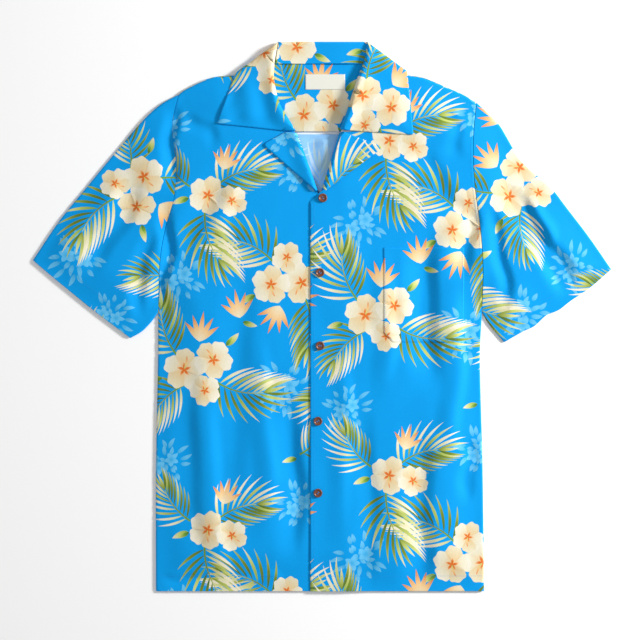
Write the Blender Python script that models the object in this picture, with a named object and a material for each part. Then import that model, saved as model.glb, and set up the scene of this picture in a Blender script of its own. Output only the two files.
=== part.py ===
"""Short-sleeved camp-collar shirt, buttoned up and laid flat on its back.

Every piece that a maker would cut is one object: a cloth wall that follows the garment as it lies.
The tables are in millimetres and the meshes in metres. X runs to the wearer's left, Y to the neck
and Z up from the surface. The origin is under the middle of the shirt.
"""

import math

import bmesh
import bpy
from mathutils import Vector

MM = 0.001

# Cloth and clearances.
WALL = 1.2  # one ply, measured straight up
DOUBLE = 1.6  # two plies turned together, for the collar and the lapels
GAP = 0.3  # between pieces that meet at a seam
SEAT = 0.7  # under a piece that lies on a curved panel but has rows of its own

# Driving sizes of the garment.
HEM_Y = -395
POCKET_BOTTOM_Y = -37
UNDERARM_Y = 6
POCKET_TOP_Y = 99
YOKE_SEAM_Y = 264
FALL_Y = 320  # lower edge of the collar where it turns down behind the yoke
NECK_SEAM_Y = 366
TOP_Y = 395
LOFT = 4.0  # how far the upper layer stands off the lower one, away from the edges
LOFT_REACH = 70
SLEEVE_ROWS = 8

# Side seams, armholes and shoulders, as (y, x) from the hem up.
SIDE_SEAM = {
    "right": ((HEM_Y, -239), (-220, -239), (-60, -236), (UNDERARM_Y, -236)),
    "left": ((HEM_Y, 233), (-220, 231), (-60, 227), (UNDERARM_Y, 230)),
}
ARMHOLE = {
    "right": ((UNDERARM_Y, -236), (70, -234), (125, -226), (170, -213), (220, -210), (274, -216), (319, -207)),
    "left": ((UNDERARM_Y, 230), (70, 231), (130, 227), (190, 219), (250, 217), (308, 222)),
}
SHOULDER = {
    "right": ((319, -207), (326, -198), (343, -160), (348, -119), (NECK_SEAM_Y, -73)),
    "left": ((308, 222), (319, 203), (326, 187), (343, 146), (348, 117), (NECK_SEAM_Y, 73)),
}
# Inner edge of each front: the overlap at the buttons, then the line on which the lapel rolls over.
FRONT_EDGE = {
    "right": ((HEM_Y, 17), (140, 17), (178, -4), (187, -8), (263, -36), (305, -60), (341, -69), (366, -68)),
    "left": ((HEM_Y, -17), (165, -17), (182, -1), (269, 26), (297, 36), (341, 50), (366, 60)),
}
# Sleeve outline, each run from the shoulder or the underarm out to the hem, as (x, y).
SLEEVE_TOP = {
    "right": ((-207, 319), (-248, 292), (-279, 257), (-321, 205), (-379, 136), (-416, 81)),
    "left": ((222, 308), (245, 288), (266, 258), (304, 205), (353, 153), (416, 68)),
}
SLEEVE_UNDER = {
    "right": ((-236, UNDERARM_Y), (-246, -8), (-260, -22), (-276, -31)),
    "left": ((230, UNDERARM_Y), (238, -8), (249, -22), (262, -37)),
}
SLEEVE_HEM = {
    "right": ((-276, -31), (-325, 6), (-377, 48), (-416, 81)),
    "left": ((262, -37), (305, -14), (323, 2), (357, 22), (386, 42), (416, 68)),
}
# Collar corners: where it rolls at the back neck, leaves the shoulder, comes to its point, and
# ends at the seam to the lapel.
COLLAR = {
    "right": {"corner": (-63, 391), "shoulder": (-120, 352), "point": (-151, 276), "gorge": (-55, 267)},
    "left": {"corner": (65, 391), "shoulder": (118, 353), "point": (131, 260), "gorge": (28, 268)},
}
# Lapel, as the seam's inner end, the tip, and the foot where it meets the first button.
LAPEL = {
    "right": {"seam": (-54, 263), "tip": (-86, 247), "foot": (-8, 182)},
    "left": {"seam": (30, 264), "tip": (88, 243), "foot": (4, 182)},
}
# Largest troughs in the upper layer: both ends, half width and depth.
TROUGHS = (
    # x0, y0, x1, y1, half width, depth
    (154, 110, 150, -85, 34, 3.4),
    (148, -170, 136, -385, 32, 3.0),
    (-46, -130, -43, -330, 26, 3.2),
    (-219, 140, -228, 20, 26, 3.0),
    (212, 160, 206, 80, 26, 3.0),
    (268, 190, 352, 50, 34, 3.4),
)
BUTTON_RADIUS = 6.35
BUTTON_RIM = 3.0
BUTTON_DISH = 2.1
BUTTONS = ((1, 170), (-3, 63), (-3, -42), (-6, -150), (-6, -253))
LABEL = {"x": (-24, 33), "y": (326, 348), "thick": 0.8}

AZURE = (0.0, 0.27, 0.75, 1.0)
COCONUT = (0.16, 0.06, 0.03, 1.0)
CREAM = (0.80, 0.78, 0.70, 1.0)
SIGN = {"right": -1, "left": 1}


def spaced(start, stop, count):
    """count steps from start to stop, without the last value."""
    return [start + (stop - start) * i / count for i in range(count)]


# All body panels share these rows, so that their facets lie parallel and their seams line up.
ROWS = (
    spaced(HEM_Y, POCKET_BOTTOM_Y, 14)
    + spaced(POCKET_BOTTOM_Y, UNDERARM_Y, 2)
    + spaced(UNDERARM_Y, POCKET_TOP_Y, 4)
    + spaced(POCKET_TOP_Y, YOKE_SEAM_Y, 8)
    + [YOKE_SEAM_Y, 286, 308, 319, 326, 343, 348, NECK_SEAM_Y]
)
# Columns across a front from the overlapped edge; the pocket uses the ones between its edges.
FRONT_COLUMNS = {
    "right": [17, -6, -32, -58, -84, -110, -136, -162, -188, -214, -239],
    "left": [-17, 7, 34, 60, 88, 111, 134, 157, 180, 203, 229],
}
POCKET_COLUMNS = (4, 9)


def ramp(value, low, high):
    return min(max((value - low) / (high - low), 0.0), 1.0)


def smooth(value):
    value = min(max(value, 0.0), 1.0)
    return value * value * (3 - 2 * value)


def along(table, value):
    """Second column of a table, read on straight lines at a value of the first one."""
    for (a, x), (b, y) in zip(table, table[1:]):
        if value <= b:
            return x + (y - x) * ramp(value, a, b)
    return table[-1][1]


def point_on(line, share):
    """Point at a share of a polyline's length."""
    steps = [math.dist(a, b) for a, b in zip(line, line[1:])]
    left = share * sum(steps)
    for a, b, step in zip(line, line[1:], steps):
        if left <= step + 1e-9:
            return Vector(a).lerp(Vector(b), left / step)
        left -= step
    return Vector(line[-1])


def outer_edge(side, y):
    """x of a body panel's outer edge: side seam, armhole or shoulder."""
    tip = ARMHOLE[side][-1][0]
    table = SIDE_SEAM[side] if y <= UNDERARM_Y else ARMHOLE[side] if y <= tip else SHOULDER[side]
    return along(table, y)


def outline():
    """Silhouette of the whole shirt, round from the right hem."""
    points = []
    for side in ("right", "left"):
        run = [(x, y) for y, x in SIDE_SEAM[side]] + list(SLEEVE_UNDER[side][1:])
        run += list(SLEEVE_HEM[side][1:]) + list(reversed(SLEEVE_TOP[side]))[1:]
        run += [COLLAR[side]["shoulder"], COLLAR[side]["corner"]]
        points += run if side == "right" else reversed(run)
    return points


OUTLINE = outline()


def edge_distance(x, y):
    """Distance from a point to the silhouette."""
    here = Vector((x, y))
    nearest = math.inf
    for a, b in zip(OUTLINE, OUTLINE[1:] + OUTLINE[:1]):
        a, b = Vector(a), Vector(b)
        share = min(max((here - a).dot(b - a) / (b - a).length_squared, 0.0), 1.0)
        nearest = min(nearest, (here - a.lerp(b, share)).length)
    return nearest


def over_fall(x, y):
    """Rise of everything that lies on the part of the collar hidden behind the yoke."""
    return (DOUBLE + GAP) * ramp(y, YOKE_SEAM_Y, 308) * (1 - ramp(abs(x), 150, 200))


def lining_height(x, y):
    return over_fall(x, y) + WALL + GAP


def trough(x, y):
    """Depth of the troughs at a point, fading out at their sides and ends."""
    total = 0.0
    for x0, y0, x1, y1, half_width, depth in TROUGHS:
        start, run = Vector((x0, y0)), Vector((x1 - x0, y1 - y0))
        offset = Vector((x, y)) - start
        share = offset.dot(run) / run.length_squared
        aside = abs(offset.cross(run)) / run.length
        ends = smooth((min(share, 1 - share) + 0.15) / 0.3)
        total += depth * ends * (1 - smooth(aside / half_width))
    return total


def upper_height(x, y):
    """Underside of the fronts and of the sleeves' upper layer."""
    rest = WALL + GAP
    rest += (WALL + GAP) * ramp(y, 243.5, YOKE_SEAM_Y - 0.1) * (1 - ramp(abs(x), 245, 290))
    rest += over_fall(x, y)
    loft = LOFT * smooth(edge_distance(x, y) / LOFT_REACH)
    return rest + max(loft - trough(x, y), 0.0)


def left_front_height(x, y):
    """The left front also lies on the right one at the buttons."""
    overlap = (1 - ramp(x, 36, 70)) * (1 - ramp(y, 190, 243))
    return upper_height(x, y) + (WALL + SEAT) * overlap


def surface_height(side, x, y):
    """Top of a front."""
    return WALL + (left_front_height(x, y) if side == "left" else upper_height(x, y))


def material(name, colour, roughness):
    made = bpy.data.materials.new(name)
    made.use_nodes = True
    shader = made.node_tree.nodes["Principled BSDF"]
    shader.inputs["Base Color"].default_value = colour
    shader.inputs["Roughness"].default_value = roughness
    shader.inputs["Metallic"].default_value = 0.0
    return made


def add_object(name, mesh_data, colour, roughness=0.85):
    """Turn a bmesh in millimetres into a finished object in metres."""
    bmesh.ops.scale(mesh_data, vec=(MM, MM, MM), verts=mesh_data.verts)
    bmesh.ops.recalc_face_normals(mesh_data, faces=mesh_data.faces)
    mesh = bpy.data.meshes.new(name)
    mesh_data.to_mesh(mesh)
    mesh_data.free()
    mesh.shade_smooth()
    mesh.set_sharp_from_angle(angle=math.radians(50))
    mesh.materials.append(material(name + "_finish", colour, roughness))
    made = bpy.data.objects.new(name, mesh)
    bpy.context.scene.collection.objects.link(made)
    return made


def add_wall(mesh_data, below, above):
    """Closed wall between two grids of points, the second over the first."""
    low = [[mesh_data.verts.new(p) for p in row] for row in below]
    high = [[mesh_data.verts.new(p) for p in row] for row in above]
    rows, columns = len(low), len(low[0])
    for i in range(rows - 1):
        for j in range(columns - 1):
            for grid in (low, high):
                mesh_data.faces.new((grid[i][j], grid[i][j + 1], grid[i + 1][j + 1], grid[i + 1][j]))
    rim = [(0, j) for j in range(columns - 1)] + [(i, columns - 1) for i in range(rows - 1)]
    rim += [(rows - 1, j) for j in range(columns - 1, 0, -1)] + [(i, 0) for i in range(rows - 1, 0, -1)]
    for (a, b), (c, d) in zip(rim, rim[1:] + rim[:1]):
        mesh_data.faces.new((low[a][b], low[c][d], high[c][d], high[a][b]))


def panel(name, plan, height, colour=AZURE, thick=WALL):
    """Cloth wall over a grid of plan points, with its underside at height(x, y)."""
    mesh_data = bmesh.new()
    below = [[(x, y, height(x, y)) for x, y in row] for row in plan]
    above = [[(x, y, z + thick) for x, y, z in row] for row in below]
    add_wall(mesh_data, below, above)
    return add_object(name, mesh_data, colour)


def across(left, right, count, y):
    return [(left + (right - left) * i / count, y) for i in range(count + 1)]


def back_plan(rows, count):
    """Rows of points right across the back."""
    return [across(outer_edge("right", y), outer_edge("left", y), count, y) for y in rows]


def front_plan(side):
    """Rows of points from a front's inner edge to its outer one."""
    columns = FRONT_COLUMNS[side]
    shares = [(x - columns[0]) / (columns[-1] - columns[0]) for x in columns]
    plan = []
    for y in ROWS:
        inner, outer = along(FRONT_EDGE[side], y), outer_edge(side, y)
        plan.append([(inner + (outer - inner) * share, y) for share in shares])
    return plan


def make_back():
    body = [y for y in ROWS if y < YOKE_SEAM_Y] + [YOKE_SEAM_Y - GAP]
    yoke = [y for y in ROWS if y >= YOKE_SEAM_Y]
    panel("back_panel", back_plan(body, 2), lambda x, y: 0.0)
    panel("back_yoke", back_plan(yoke, 18), over_fall)
    panel("yoke_lining", back_plan(yoke, 18), lining_height)


def make_fronts():
    panel("front_right", front_plan("right"), upper_height)
    left = front_plan("left")
    panel("front_left", left, left_front_height)
    rows = [i for i, y in enumerate(ROWS) if POCKET_BOTTOM_Y <= y <= POCKET_TOP_Y]
    first, last = POCKET_COLUMNS
    plan = [left[i][first : last + 1] for i in rows]
    panel("chest_pocket", plan, lambda x, y: left_front_height(x, y) + WALL + GAP)


def sleeve_plan(side):
    """Grid over a sleeve, from the armhole to the hem, by blending its four edges."""
    tip = ARMHOLE[side][-1][0]
    seam = [Vector((along(ARMHOLE[side], y) + SIGN[side] * GAP, y)) for y in ROWS if UNDERARM_Y <= y <= tip]
    count = len(seam) - 1
    hem = [point_on(SLEEVE_HEM[side], j / count) for j in range(count + 1)]
    shift = Vector((SIGN[side] * GAP, 0))
    plan = []
    for i in range(SLEEVE_ROWS + 1):
        s = i / SLEEVE_ROWS
        under = point_on(SLEEVE_UNDER[side], s) + shift * (1 - s)
        top = point_on(SLEEVE_TOP[side], s) + shift * (1 - s)
        row = []
        for j in range(count + 1):
            t = j / count
            ruled = seam[j].lerp(hem[j], s) + under.lerp(top, t)
            corners = seam[0].lerp(hem[0], s).lerp(seam[-1].lerp(hem[-1], s), t)
            row.append(ruled - corners)
        plan.append(row)
    return plan


def make_sleeve(side):
    """Flattened tube: a closed outer ring and a closed inner ring for each row of the plan."""
    mesh_data = bmesh.new()
    rings = []
    for row in sleeve_plan(side):
        inset = [p.copy() for p in row]
        for end, step in ((0, 1), (-1, -1)):
            inset[end] = row[end] + (row[end + step] - row[end]).normalized() * WALL
        tops = [upper_height(p.x, p.y) for p in row]
        outer = [(p.x, p.y, 0.0) for p in row]
        outer += [(p.x, p.y, z + WALL) for p, z in reversed(list(zip(row, tops)))]
        inner = [(p.x, p.y, WALL) for p in inset]
        inner += [(p.x, p.y, z) for p, z in reversed(list(zip(inset, tops)))]
        rings.append([[mesh_data.verts.new(p) for p in ring] for ring in (outer, inner)])
    count = len(rings[0][0])
    for k in range(count):
        n = (k + 1) % count
        for this, following in zip(rings, rings[1:]):
            for layer in (0, 1):
                a, b = this[layer], following[layer]
                mesh_data.faces.new((a[k], a[n], b[n], b[k]))
        for outer, inner in (rings[0], rings[-1]):
            mesh_data.faces.new((outer[k], outer[n], inner[n], inner[k]))
    add_object("sleeve_" + side, mesh_data, AZURE)


def make_lapel(side):
    """Facing turned back over the front, in rows from the collar seam down to the first button."""
    lapel = LAPEL[side]
    seam, tip, foot = (Vector(lapel[key]) for key in ("seam", "tip", "foot"))
    rows = 7
    plan = []
    for i in range(rows + 1):
        y = seam.y + (foot.y - seam.y) * i / rows
        inner = Vector((along(FRONT_EDGE[side], y), y))
        outer = tip.lerp(foot + Vector((SIGN[side] * 5, -2)), i / rows)
        plan.append([inner.lerp(outer, j / 4) for j in range(5)])
    panel(
        "facing_" + side,
        plan,
        lambda x, y: surface_height(side, x, y) + SEAT,
        thick=DOUBLE,
    )


def leaf_height(side, point):
    """Middle of the collar's cloth where it lies on a front."""
    return surface_height(side, point.x, point.y) + SEAT + DOUBLE / 2


def add_strip(mesh_data, lower, upper, outward, steps=6):
    """Half-round turn of cloth from one edge up to another, bulging along outward."""
    rows = []
    for k in range(steps + 1):
        angle = math.pi * k / steps
        row = []
        for a, b, away in zip(lower, upper, outward):
            radius = (b.z - a.z) / 2
            middle = a.lerp(b, (1 - math.cos(angle)) / 2)
            row.append(middle + away * radius * math.sin(angle))
        rows.append(row)
    add_faces(mesh_data, rows)


def add_faces(mesh_data, rows):
    grid = [[mesh_data.verts.new(p) for p in row] for row in rows]
    for low, high in zip(grid, grid[1:]):
        for j in range(len(low) - 1):
            mesh_data.faces.new((low[j], low[j + 1], high[j + 1], high[j]))


def make_collar():
    """One folded piece: it stands at the back neck, turns down behind the yoke, wraps forward over
    both shoulders and spreads on the fronts."""
    mesh_data = bmesh.new()
    low = DOUBLE / 2
    turn = (WALL + GAP) * 2 + GAP + DOUBLE  # from the hidden fall up to the stand
    fold_y = TOP_Y - turn / 2 - low / math.cos(math.pi / 12)
    columns, side_steps = 10, 5
    corners = {side: Vector((COLLAR[side]["corner"][0], fold_y)) for side in SIGN}
    ends = {side: Vector(COLLAR[side]["shoulder"]) for side in SIGN}
    inward = {}
    for side in SIGN:
        run = ends[side] - corners[side]
        inward[side] = Vector((SIGN[side] * -run.y, SIGN[side] * run.x)).normalized() * -1
        corners[side] -= Vector((SIGN[side] * 5, 0))
        ends[side] += inward[side] * 4

    # The fall behind the yoke, from the fold at the back neck down to its free edge.
    fall = []
    for i in range(side_steps + 1):
        share = i / side_steps
        right = corners["right"].lerp(ends["right"], share)
        left = corners["left"].lerp(ends["left"], share)
        row = []
        for j in range(columns + 1):
            t = j / columns
            middle = right.lerp(left, t)
            sag = (FALL_Y - right.lerp(left, t).y) * share * smooth(min(t, 1 - t) / 0.22)
            row.append(Vector((middle.x, middle.y + sag, low)))
        fall.append(row)
    add_faces(mesh_data, fall)

    # The stand inside the neck.
    back_fold = fall[0]
    stand_top = [Vector((p.x, p.y, low + turn)) for p in back_fold]
    stand_foot = [Vector((p.x * 0.93, NECK_SEAM_Y - 3, low + turn)) for p in back_fold]
    add_strip(mesh_data, back_fold, stand_top, [Vector((0, 1, 0))] * len(back_fold))
    add_faces(mesh_data, [stand_top, stand_foot])

    # The leaves on the fronts.
    for side in SIGN:
        shape = COLLAR[side]
        point, gorge = Vector(shape["point"]), Vector(shape["gorge"])
        lower = [row[0 if side == "right" else -1] for row in fall]
        upper = [Vector((p.x, p.y, leaf_height(side, p))) for p in lower]
        away = [Vector((*-inward[side], 0))] * len(lower)
        add_strip(mesh_data, lower, upper, away)
        rows, roll_top = 9, Vector((shape["corner"][0] - SIGN[side] * 1, 372))
        leaf = [upper]
        for i in range(1, rows + 1):
            share = i / rows
            outer = ends[side].lerp(point, share)
            inner_y = upper[0].y + (gorge.y - upper[0].y) * share
            inner_x = along(FRONT_EDGE[side], inner_y) if inner_y < 366 else roll_top.x
            inner = Vector((inner_x, inner_y))
            row = [inner.lerp(outer, j / side_steps) for j in range(side_steps + 1)]
            leaf.append([Vector((p.x, p.y, leaf_height(side, p))) for p in row])
        add_faces(mesh_data, leaf)

    bmesh.ops.remove_doubles(mesh_data, verts=mesh_data.verts, dist=1e-3)
    made = add_object("collar", mesh_data, AZURE)
    wall = made.modifiers.new("wall", "SOLIDIFY")
    wall.thickness = DOUBLE * MM
    wall.offset = 0
    wall.use_even_offset = True


def make_buttons():
    """Turned discs with a raised rim and a dished face."""
    profile = (
        (0, 0),
        (BUTTON_RADIUS - 0.8, 0),
        (BUTTON_RADIUS, 1.2),
        (BUTTON_RADIUS, 2.2),
        (BUTTON_RADIUS - 0.9, BUTTON_RIM),
        (BUTTON_RADIUS - 2.2, BUTTON_DISH),
        (0, BUTTON_DISH),
    )
    sides = 18
    for number, (x, y) in enumerate(BUTTONS, 1):
        rim = [(x + BUTTON_RADIUS * c, y + BUTTON_RADIUS * s) for c, s in ((0, 0), (1, 0), (-1, 0), (0, 1), (0, -1))]
        foot = max(surface_height("left", *p) for p in rim) + GAP
        mesh_data = bmesh.new()
        rings = []
        for radius, z in profile:
            angles = [math.tau * k / sides for k in range(sides if radius else 1)]
            ring = [(x + radius * math.cos(a), y + radius * math.sin(a), foot + z) for a in angles]
            rings.append([mesh_data.verts.new(p) for p in ring])
        for below, above in zip(rings, rings[1:]):
            for k in range(sides):
                n = (k + 1) % sides
                corners = [below[k % len(below)], below[n % len(below)], above[n % len(above)], above[k % len(above)]]
                mesh_data.faces.new(list(dict.fromkeys(corners)))
        add_object(f"button_{number}", mesh_data, COCONUT, 0.35)


def make_label():
    (x0, x1), (y0, y1) = LABEL["x"], LABEL["y"]
    plan = [across(x0, x1, 1, y) for y in (y0, y1)]
    panel("neck_label", plan, lambda x, y: lining_height(x, y) + WALL + GAP, CREAM, LABEL["thick"])


for old in list(bpy.data.objects):
    bpy.data.objects.remove(old)
make_back()
make_fronts()
for each in SIGN:
    make_sleeve(each)
    make_lapel(each)
make_collar()
make_buttons()
make_label()
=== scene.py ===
import math

import bpy
import numpy as np
from mathutils import Matrix, Vector
from mathutils.geometry import delaunay_2d_cdt


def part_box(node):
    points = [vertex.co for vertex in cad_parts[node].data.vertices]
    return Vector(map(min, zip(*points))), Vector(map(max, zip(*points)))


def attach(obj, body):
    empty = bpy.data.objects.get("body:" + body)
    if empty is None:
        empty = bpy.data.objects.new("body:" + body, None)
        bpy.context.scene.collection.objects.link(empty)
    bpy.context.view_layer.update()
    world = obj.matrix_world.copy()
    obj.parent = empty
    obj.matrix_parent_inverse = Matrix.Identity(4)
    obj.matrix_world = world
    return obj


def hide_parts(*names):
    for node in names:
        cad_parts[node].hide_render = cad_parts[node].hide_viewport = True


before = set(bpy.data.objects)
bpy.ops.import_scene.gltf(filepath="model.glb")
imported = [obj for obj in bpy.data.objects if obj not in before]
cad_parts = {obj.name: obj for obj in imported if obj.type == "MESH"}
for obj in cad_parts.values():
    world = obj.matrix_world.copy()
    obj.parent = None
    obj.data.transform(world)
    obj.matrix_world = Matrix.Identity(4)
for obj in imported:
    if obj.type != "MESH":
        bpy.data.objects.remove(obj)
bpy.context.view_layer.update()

# ---- surface, light and camera
# The shirt lies face up on a pale table. One broad soft light stands beyond its left sleeve, with
# a weak fill opposite, and the camera looks straight down through a long lens.

MM = 0.001
LENS = 85.0
SENSOR = 36.0
VIEW_WIDTH = 0.9216  # across the picture, at the table
VIEW_CENTRE = (-0.003, -0.005)
TABLE_HALF, TABLE_TOP = 9, -0.0006
ROOM_LIGHT = 0.44


def plain_material(name, colour, roughness):
    made = bpy.data.materials.new(name)
    made.use_nodes = True
    shader = made.node_tree.nodes["Principled BSDF"]
    shader.inputs["Base Color"].default_value = (*colour, 1)
    shader.inputs["Roughness"].default_value = roughness
    return made


def link(made):
    bpy.context.scene.collection.objects.link(made)
    return made


def area_light(name, place, size, watts):
    lamp = bpy.data.lights.new(name, "AREA")
    lamp.size, lamp.energy = size, watts
    made = link(bpy.data.objects.new(name, lamp))
    made.location = place
    made.rotation_euler = (-Vector(place)).to_track_quat("-Z", "Y").to_euler()


camera = bpy.data.cameras.new("camera")
camera.lens, camera.sensor_width = LENS, SENSOR
camera.clip_end = 50
eye = link(bpy.data.objects.new("camera", camera))
eye.location = (*VIEW_CENTRE, VIEW_WIDTH * LENS / SENSOR)
bpy.context.scene.camera = eye

table = bpy.data.meshes.new("table")
square = ((-1, -1), (1, -1), (1, 1), (-1, 1))
table_corners = [(x * TABLE_HALF, y * TABLE_HALF, TABLE_TOP) for x, y in square]
table.from_pydata(table_corners, [], [(0, 1, 2, 3)])
table.materials.append(plain_material("table", (0.99, 0.99, 0.99), 0.9))
link(bpy.data.objects.new("table", table))

area_light("key", (2.6, 0.9, 1.2), 0.5, 132)
area_light("fill", (-1.0, -0.2, 2.6), 2.4, 6)
world = bpy.data.worlds.new("world")
world.use_nodes = True
sky = world.node_tree.nodes["Background"].inputs
sky["Color"].default_value, sky["Strength"].default_value = (1, 1, 1, 1), ROOM_LIGHT
bpy.context.scene.world = world
bpy.context.scene.view_settings.view_transform = "Standard"

# ---- how the shirt lies
# Outlines of the pieces as they lie, in millimetres, and the height of the upper layer over the
# table: what is beneath it, its loft away from the edges, and the creases left by handling.

PLY = 1.2  # room that the solid model gives one ply
TURNED = 1.6  # and two plies turned together
SEAM = 0.3
CLOTH, TURNED_CLOTH = 0.45, 0.9  # the cloth's own thickness, single and turned
LOFT, PLACKET_LOFT, LOFT_REACH = 6.0, 4.0, 62
PLACKET_X, PLACKET_REACH, PLACKET_LIFT = -3, 90, 1.9
CREASE_REACH, WAVER_REACH, LOWEST_SAG = 22, 30, -0.9  # how soon creases start inside an edge
YOKE_SEAM_STEP = (243.5, 263.9)
HEM_Y, UNDERARM_Y, YOKE_SEAM_Y, NECK_SEAM_Y = -395, 6, 264, 366
SIGN = {"right": -1, "left": 1}
SIDE_SEAM = {
    "right": ((-239, HEM_Y), (-239, -220), (-236, -60), (-236, UNDERARM_Y)),
    "left": ((233, HEM_Y), (231, -220), (227, -60), (230, UNDERARM_Y)),
}
ARMHOLE = {
    "right": (
        (-236, UNDERARM_Y), (-234, 70), (-226, 125), (-213, 170), (-210, 220), (-216, 274), (-207, 319),
    ),
    "left": ((230, UNDERARM_Y), (231, 70), (227, 130), (219, 190), (217, 250), (222, 308)),
}
SHOULDER = {
    "right": ((-207, 319), (-198, 326), (-160, 343), (-119, 348), (-73, NECK_SEAM_Y)),
    "left": ((222, 308), (203, 319), (187, 326), (146, 343), (117, 348), (73, NECK_SEAM_Y)),
}
FRONT_EDGE = {
    "right": ((17, HEM_Y), (17, 140), (-4, 178), (-8, 187), (-36, 263), (-60, 305), (-69, 341), (-68, 366)),
    "left": ((-17, HEM_Y), (-17, 165), (-1, 182), (26, 269), (36, 297), (50, 341), (60, 366)),
}
SLEEVE_TOP = {
    "right": (
        (-207, 319), (-228, 308), (-248, 292), (-266, 273), (-294, 240), (-337, 188), (-379, 136), (-416, 81),
    ),
    "left": ((222, 308), (239, 292), (256, 274), (288, 222), (327, 188), (353, 155), (385, 113), (416, 68)),
}
SLEEVE_UNDER = {
    "right": ((-236, UNDERARM_Y), (-246, -8), (-260, -22), (-276, -31)),
    "left": ((230, UNDERARM_Y), (238, -8), (249, -22), (262, -37)),
}
SLEEVE_HEM = {
    "right": ((-276, -31), (-325, 6), (-377, 48), (-416, 81)),
    "left": ((262, -37), (290, -21), (305, -14), (323, 2), (340, 9), (357, 22), (386, 42), (416, 68)),
}
COLLAR = {
    "right": {"corner": (-63, 395), "shoulder": (-124, 351), "point": (-151, 276), "gorge": (-55, 266)},
    "left": {"corner": (65, 395), "shoulder": (122, 353), "point": (131, 260), "gorge": (28, 267)},
}
LAPEL = {
    "right": {"seam": (-54, 264), "tip": (-86, 247), "foot": (-10, 181)},
    "left": {"seam": (30, 265), "tip": (88, 243), "foot": (6, 181)},
}
# Troughs are positive and ridges negative.
CREASES = (
    # x0, y0, x1, y1, half width, depth
    (154, 110, 150, -85, 30, 6.7),
    (148, -170, 136, -385, 30, 5.6),
    (-44, -130, -41, -330, 24, 5.6),
    (-222, 150, -230, 20, 16, 6.0),
    (212, 160, 206, 60, 22, 5.6),
    (-218, 296, -208, 190, 16, 5.0),
    (285, 182, 356, 34, 20, 4.0),
    (268, 190, 352, 50, 26, 7.0),
    (95, 70, 90, -90, 22, -3.0),
    (192, 30, 188, -190, 22, -3.7),
    (212, -180, 213, -260, 16, 4.0),
    (-120, 60, -126, -250, 34, 2.6),
    (-190, -60, -184, -330, 26, 3.0),
    (-158, -120, -152, -370, 24, -3.0),
    (-84, -40, -80, -300, 22, -2.6),
    (60, -150, 66, -370, 24, 3.0),
    (30, -60, 32, -300, 20, -2.0),
    (-150, 200, -206, 60, 26, 3.0),
    (-110, 215, -150, 120, 22, -2.3),
    (150, 240, 196, 140, 24, 2.6),
    (252, 150, 262, 20, 14, 4.4),
    (300, 170, 330, 90, 22, -3.0),
    (-262, 200, -330, 70, 26, 4.4),
    (-300, 190, -372, 90, 22, -2.6),
    (-250, 120, -262, 10, 16, 3.7),
    (-226, -378, -150, -372, 14, 2.6),
    (-120, -375, -60, -379, 12, -2.0),
    (-196, 290, -150, 250, 16, 2.3),
    (180, 300, 196, 230, 16, 2.0),
)


def array(points):
    return np.array(points, float)


def smooth(value):
    value = np.clip(value, 0, 1)
    return value * value * (3 - 2 * value)


def curved(points, step=4.0):
    """Smooth line through points, in rows about a step apart."""
    points = array(points)
    padded = np.vstack([2 * points[0] - points[1], points, 2 * points[-1] - points[-2]])
    rows = []
    for a, b, c, d in zip(padded, padded[1:], padded[2:], padded[3:]):
        count = max(int(np.ceil(np.linalg.norm(c - b) / step)), 1)
        t = (np.arange(count) / count)[:, None]
        k = min(np.linalg.norm(c - b) / max(np.linalg.norm(c - a), 1e-6), 0.5)
        m = min(np.linalg.norm(c - b) / max(np.linalg.norm(d - b), 1e-6), 0.5)
        h = (2 * t**3 - 3 * t**2 + 1) * b + (t**3 - 2 * t**2 + t) * (c - a) * k
        rows.append(h + (3 * t**2 - 2 * t**3) * c + (t**3 - t**2) * (d - b) * m)
    return np.vstack([*rows, points[-1:]])


def straight(a, b, step=4.0):
    count = max(int(np.ceil(math.dist(a, b) / step)), 1)
    return array([np.array(a) + (np.array(b) - np.array(a)) * i / count for i in range(count + 1)])


def distance(points, *lines):
    """Distance of each point to the nearest of some polylines."""
    nearest = np.full(len(points), 1e9)
    for line in lines:
        line = array(line)
        for a, b in zip(line, line[1:]):
            run = b - a
            share = np.clip(((points - a) @ run) / max(run @ run, 1e-9), 0, 1)
            nearest = np.minimum(nearest, np.linalg.norm(points - a - share[:, None] * run, axis=1))
    return nearest


side_line = {s: curved(SIDE_SEAM[s]) for s in SIGN}
arm_line = {s: curved(ARMHOLE[s]) for s in SIGN}
shoulder_line = {s: curved(SHOULDER[s]) for s in SIGN}
top_line = {s: curved(SLEEVE_TOP[s]) for s in SIGN}
under_line = {s: curved(SLEEVE_UNDER[s]) for s in SIGN}
hem_line = {s: curved(SLEEVE_HEM[s]) for s in SIGN}
roll_line = {s: curved([p for p in FRONT_EDGE[s] if p[1] > 170]) for s in SIGN}
neck_fold = {s: straight(COLLAR[s]["corner"], COLLAR[s]["shoulder"]) for s in SIGN}
body_hem = straight(SIDE_SEAM["right"][0], SIDE_SEAM["left"][0])
folded_edges = [line[s] for s in SIGN for line in (side_line, shoulder_line, top_line, under_line)]
silhouette = folded_edges + [hem_line[s] for s in SIGN] + [neck_fold[s] for s in SIGN] + [body_hem]


def ramp(value, low, high):
    return np.clip((value - low) / (high - low), 0, 1)


def over_fall(p):
    return (TURNED + SEAM) * ramp(p[:, 1], YOKE_SEAM_Y, 308) * (1 - ramp(abs(p[:, 0]), 150, 200))


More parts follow.
